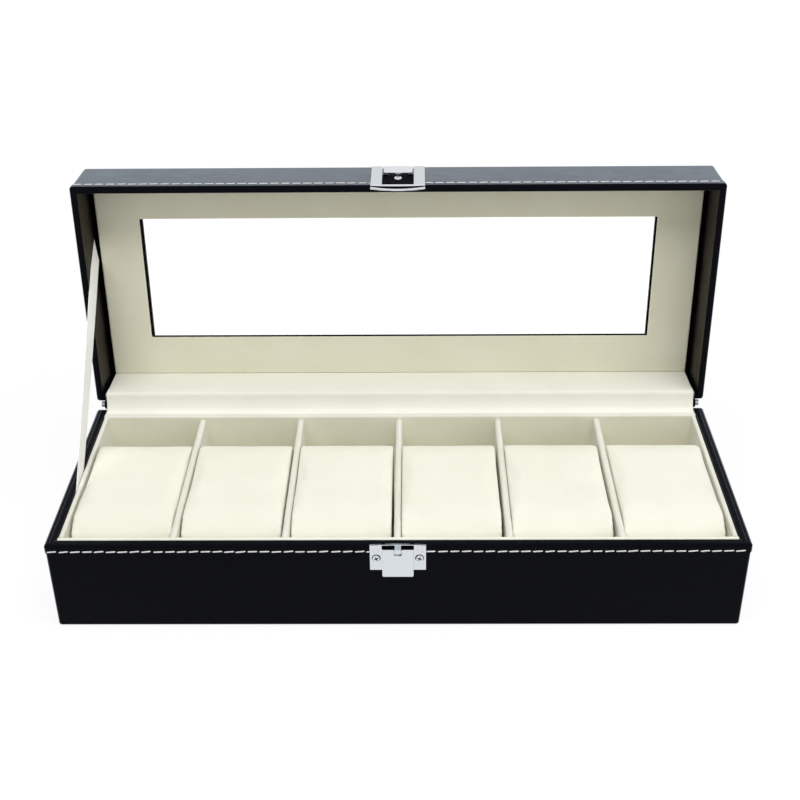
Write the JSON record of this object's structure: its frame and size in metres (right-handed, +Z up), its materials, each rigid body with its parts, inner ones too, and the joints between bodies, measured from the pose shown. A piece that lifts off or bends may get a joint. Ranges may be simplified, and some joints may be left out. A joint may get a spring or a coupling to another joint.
{
  "type": "watch box",
  "caption": "Oblong black leatherette watch box with a row of velvet-cushioned bays, a windowed lid on a piano hinge and a nickel hasp clasp.",
  "frame": {"origin": "centre of the base's underside, where the felt meets the table", "axes": "+X to the right along the length, +Y to the back towards the hinge, +Z up"},
  "size_m": [0.3, 0.1515, 0.1616],
  "materials": {
    "leatherette": "black, fine grained, semi-gloss",
    "board": "raw fibreboard",
    "felt": "black felt",
    "velvet": "cream flocked card",
    "cushion_velvet": "cream brushed velvet",
    "satin": "white satin",
    "glass": "clear",
    "steel": "plain",
    "nickel": "bright nickel"
  },
  "bodies": {
    "base": {"underside_felt": "felt", "bottom_board": "board", "base_front_board": "board", "base_back_board": "board", "base_left_board": "board", "base_right_board": "board", "base_wrap": "leatherette", "base_rim_band": "leatherette", "tray_floor": "velvet", "tray_front_wall": "velvet", "tray_back_wall": "velvet", "tray_left_wall": "velvet", "tray_right_wall": "velvet", "divider_1": "velvet", "divider_2": "velvet", "divider_3": "velvet", "divider_4": "velvet", "divider_5": "velvet", "hinge_base_leaf": "steel", "hinge_pin": "steel", "base_hinge_brads": "steel", "hinge_cover": "velvet", "ribbon_stay": "satin", "clasp_plate": "nickel", "clasp_plate_screws": "nickel", "clasp_lever_pin": "nickel"},
    "lid": {"lid_top_board": "board", "lid_front_board": "board", "lid_back_board": "board", "lid_left_board": "board", "lid_right_board": "board", "lid_wrap": "leatherette", "lid_rim_band": "leatherette", "lid_pane": "glass", "lid_inner_frame": "velvet", "lid_back_lining": "velvet", "hinge_lid_leaf": "steel", "lid_hinge_brads": "steel", "loop_bracket": "nickel", "bracket_screw": "nickel", "loop_pin": "nickel"},
    "clasp_loop": {"clasp_loop": "nickel"},
    "clasp_lever": {"clasp_lever": "nickel"},
    "cushion_1": {"cushion_1": "cushion_velvet"},
    "cushion_2": {"cushion_2": "cushion_velvet"},
    "cushion_3": {"cushion_3": "cushion_velvet"},
    "cushion_4": {"cushion_4": "cushion_velvet"},
    "cushion_5": {"cushion_5": "cushion_velvet"},
    "cushion_6": {"cushion_6": "cushion_velvet"}
  },
  "joints": [
    {"name": "lid_hinge", "type": "hinge", "parent": "base", "child": "lid", "pos_m": [0, 0.05715, 0.046], "axis": [-1, 0, 0], "range_deg": [-93.6, 0], "deforming": ["hinge_cover", "ribbon_stay"]},
    {"name": "loop_swing", "type": "hinge", "parent": "lid", "child": "clasp_loop", "pos_m": [0.0003, 0.08376, 0.15845], "axis": [-1, 0, 0], "range_deg": [0, 120]},
    {"name": "lever_lift", "type": "hinge", "parent": "base", "child": "clasp_lever", "pos_m": [0.0003, -0.0578, 0.043], "axis": [-1, 0, 0], "range_deg": [0, 95]},
    {"name": "cushion_1_lift", "type": "slide", "parent": "base", "child": "cushion_1", "axis": [0, 0, 1], "range_m": [0, 0.06]},
    {"name": "cushion_2_lift", "type": "slide", "parent": "base", "child": "cushion_2", "axis": [0, 0, 1], "range_m": [0, 0.06]},
    {"name": "cushion_3_lift", "type": "slide", "parent": "base", "child": "cushion_3", "axis": [0, 0, 1], "range_m": [0, 0.06]},
    {"name": "cushion_4_lift", "type": "slide", "parent": "base", "child": "cushion_4", "axis": [0, 0, 1], "range_m": [0, 0.06]},
    {"name": "cushion_5_lift", "type": "slide", "parent": "base", "child": "cushion_5", "axis": [0, 0, 1], "range_m": [0, 0.06]},
    {"name": "cushion_6_lift", "type": "slide", "parent": "base", "child": "cushion_6", "axis": [0, 0, 1], "range_m": [0, 0.06]}
  ]
}
